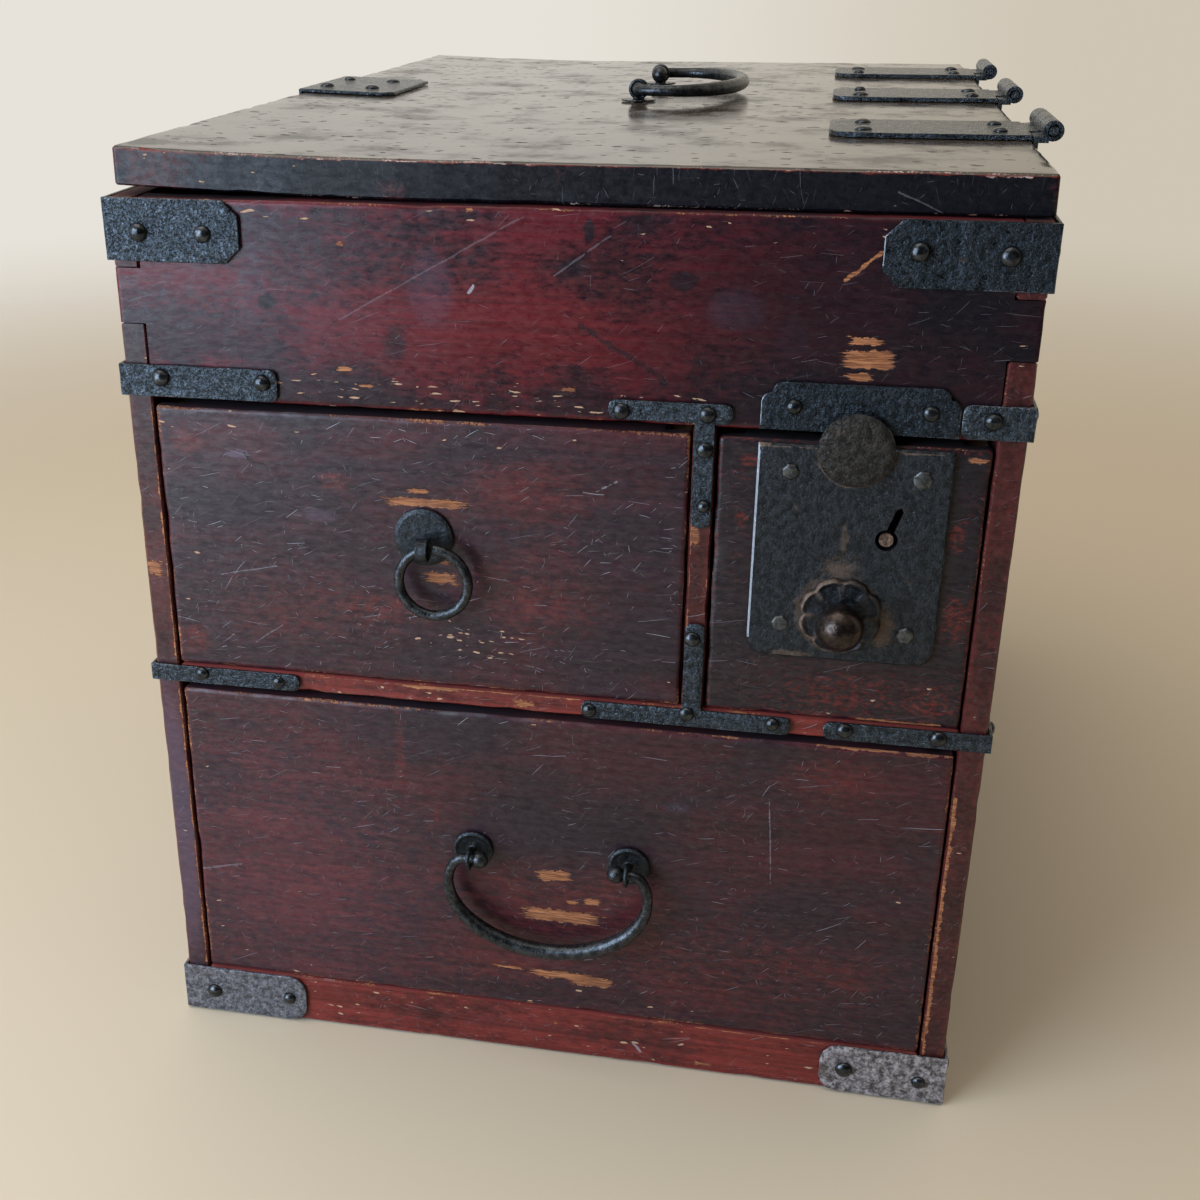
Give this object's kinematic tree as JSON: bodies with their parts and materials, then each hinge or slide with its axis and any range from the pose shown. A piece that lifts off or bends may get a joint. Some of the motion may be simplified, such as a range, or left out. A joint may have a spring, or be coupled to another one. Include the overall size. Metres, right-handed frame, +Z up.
{
  "type": "calligraphy box",
  "caption": "Lacquered wooden writing box with iron fittings: a lid hinged on one side over a compartment, ring drawer and locked drawer above a full-width drawer.",
  "frame": {"origin": "centre of the underside of the case, on the floor", "axes": "+X to the right seen from the drawer side, where the lid is hinged; -Y the way the drawers open; +Z up"},
  "size_m": [0.2514, 0.3801, 0.2827],
  "materials": {
    "dark_lacquer": "dark worn lacquer",
    "red_lacquer": "red-brown worn lacquer",
    "brown_lacquer": "brown worn lacquer",
    "lid_lacquer": "dulled dark lacquer",
    "bare_wood": "bare planed softwood",
    "black_iron": "blackened forged iron",
    "worn_iron": "worn forged iron",
    "knob_iron": "brown-black iron"
  },
  "bodies": {
    "case": {"left_side": "brown_lacquer", "right_side": "brown_lacquer", "back_panel": "brown_lacquer", "base_board": "red_lacquer", "upper_front_board": "red_lacquer", "compartment_floor": "bare_wood", "drawer_shelf": "red_lacquer", "drawer_partition": "brown_lacquer", "corner_iron_top_left": "black_iron", "corner_iron_top_right": "black_iron", "corner_iron_bottom_left": "black_iron", "corner_iron_bottom_right": "black_iron", "rail_strap_upper_left": "black_iron", "rail_strap_upper_right": "black_iron", "rail_strap_lower_left": "black_iron", "rail_strap_lower_right": "black_iron", "partition_strap_top": "black_iron", "partition_strap_bottom": "black_iron", "strike_plate": "black_iron", "hinge_case_leaf_front": "black_iron", "hinge_case_leaf_middle": "black_iron", "hinge_case_leaf_rear": "black_iron", "hinge_pin_front": "worn_iron", "hinge_pin_middle": "worn_iron", "hinge_pin_rear": "worn_iron"},
    "lid": {"lid_board": "lid_lacquer", "hinge_lid_strap_front": "black_iron", "hinge_lid_strap_middle": "black_iron", "hinge_lid_strap_rear": "black_iron", "lid_edge_strap": "black_iron", "lid_handle_post_front": "black_iron", "lid_handle_post_rear": "black_iron"},
    "lid_handle": {"lid_handle": "black_iron"},
    "ring_drawer": {"ring_drawer_front": "dark_lacquer", "ring_drawer_left": "bare_wood", "ring_drawer_right": "bare_wood", "ring_drawer_back": "bare_wood", "ring_drawer_bottom": "bare_wood", "ring_post": "black_iron"},
    "ring_pull": {"ring_pull": "black_iron"},
    "lock_drawer": {"lock_drawer_front": "dark_lacquer", "lock_drawer_left": "bare_wood", "lock_drawer_right": "bare_wood", "lock_drawer_back": "bare_wood", "lock_drawer_bottom": "bare_wood", "lock_plate": "worn_iron", "lock_back_plate": "black_iron", "knob_rosette": "black_iron", "drawer_knob": "knob_iron"},
    "lock_bolt": {"lock_bolt": "worn_iron"},
    "lower_drawer": {"lower_drawer_front": "dark_lacquer", "lower_drawer_left": "bare_wood", "lower_drawer_right": "bare_wood", "lower_drawer_back": "bare_wood", "lower_drawer_bottom": "bare_wood", "bail_post_left": "black_iron", "bail_post_right": "black_iron"},
    "bail_handle": {"bail_handle": "black_iron"}
  },
  "joints": [
    {"name": "lid_hinge", "type": "hinge", "parent": "case", "child": "lid", "pos_m": [0.1263, 0, 0.278], "axis": [0, 1, 0], "range_deg": [0, 270]},
    {"name": "lid_handle_swing", "type": "hinge", "parent": "lid", "child": "lid_handle", "pos_m": [0, 0.021, 0.2792], "axis": [0, -1, 0], "range_deg": [0, 180]},
    {"name": "ring_drawer_slide", "type": "slide", "parent": "case", "child": "ring_drawer", "axis": [0, -1, 0], "range_m": [0, 0.27]},
    {"name": "ring_swing", "type": "hinge", "parent": "ring_drawer", "child": "ring_pull", "pos_m": [-0.03535, -0.1875, 0.1718], "axis": [-1, 0, 0], "range_deg": [-8, 150]},
    {"name": "lock_drawer_slide", "type": "slide", "parent": "case", "child": "lock_drawer", "axis": [0, -1, 0], "range_m": [0, 0.27]},
    {"name": "lock_bolt_slide", "type": "slide", "parent": "lock_drawer", "child": "lock_bolt", "axis": [0, 0, 1], "range_m": [0, 0.006]},
    {"name": "lower_drawer_slide", "type": "slide", "parent": "case", "child": "lower_drawer", "axis": [0, -1, 0], "range_m": [0, 0.27]},
    {"name": "bail_swing", "type": "hinge", "parent": "lower_drawer", "child": "bail_handle", "pos_m": [0.0002, -0.188, 0.0734], "axis": [-1, 0, 0], "range_deg": [-5, 150]}
  ]
}
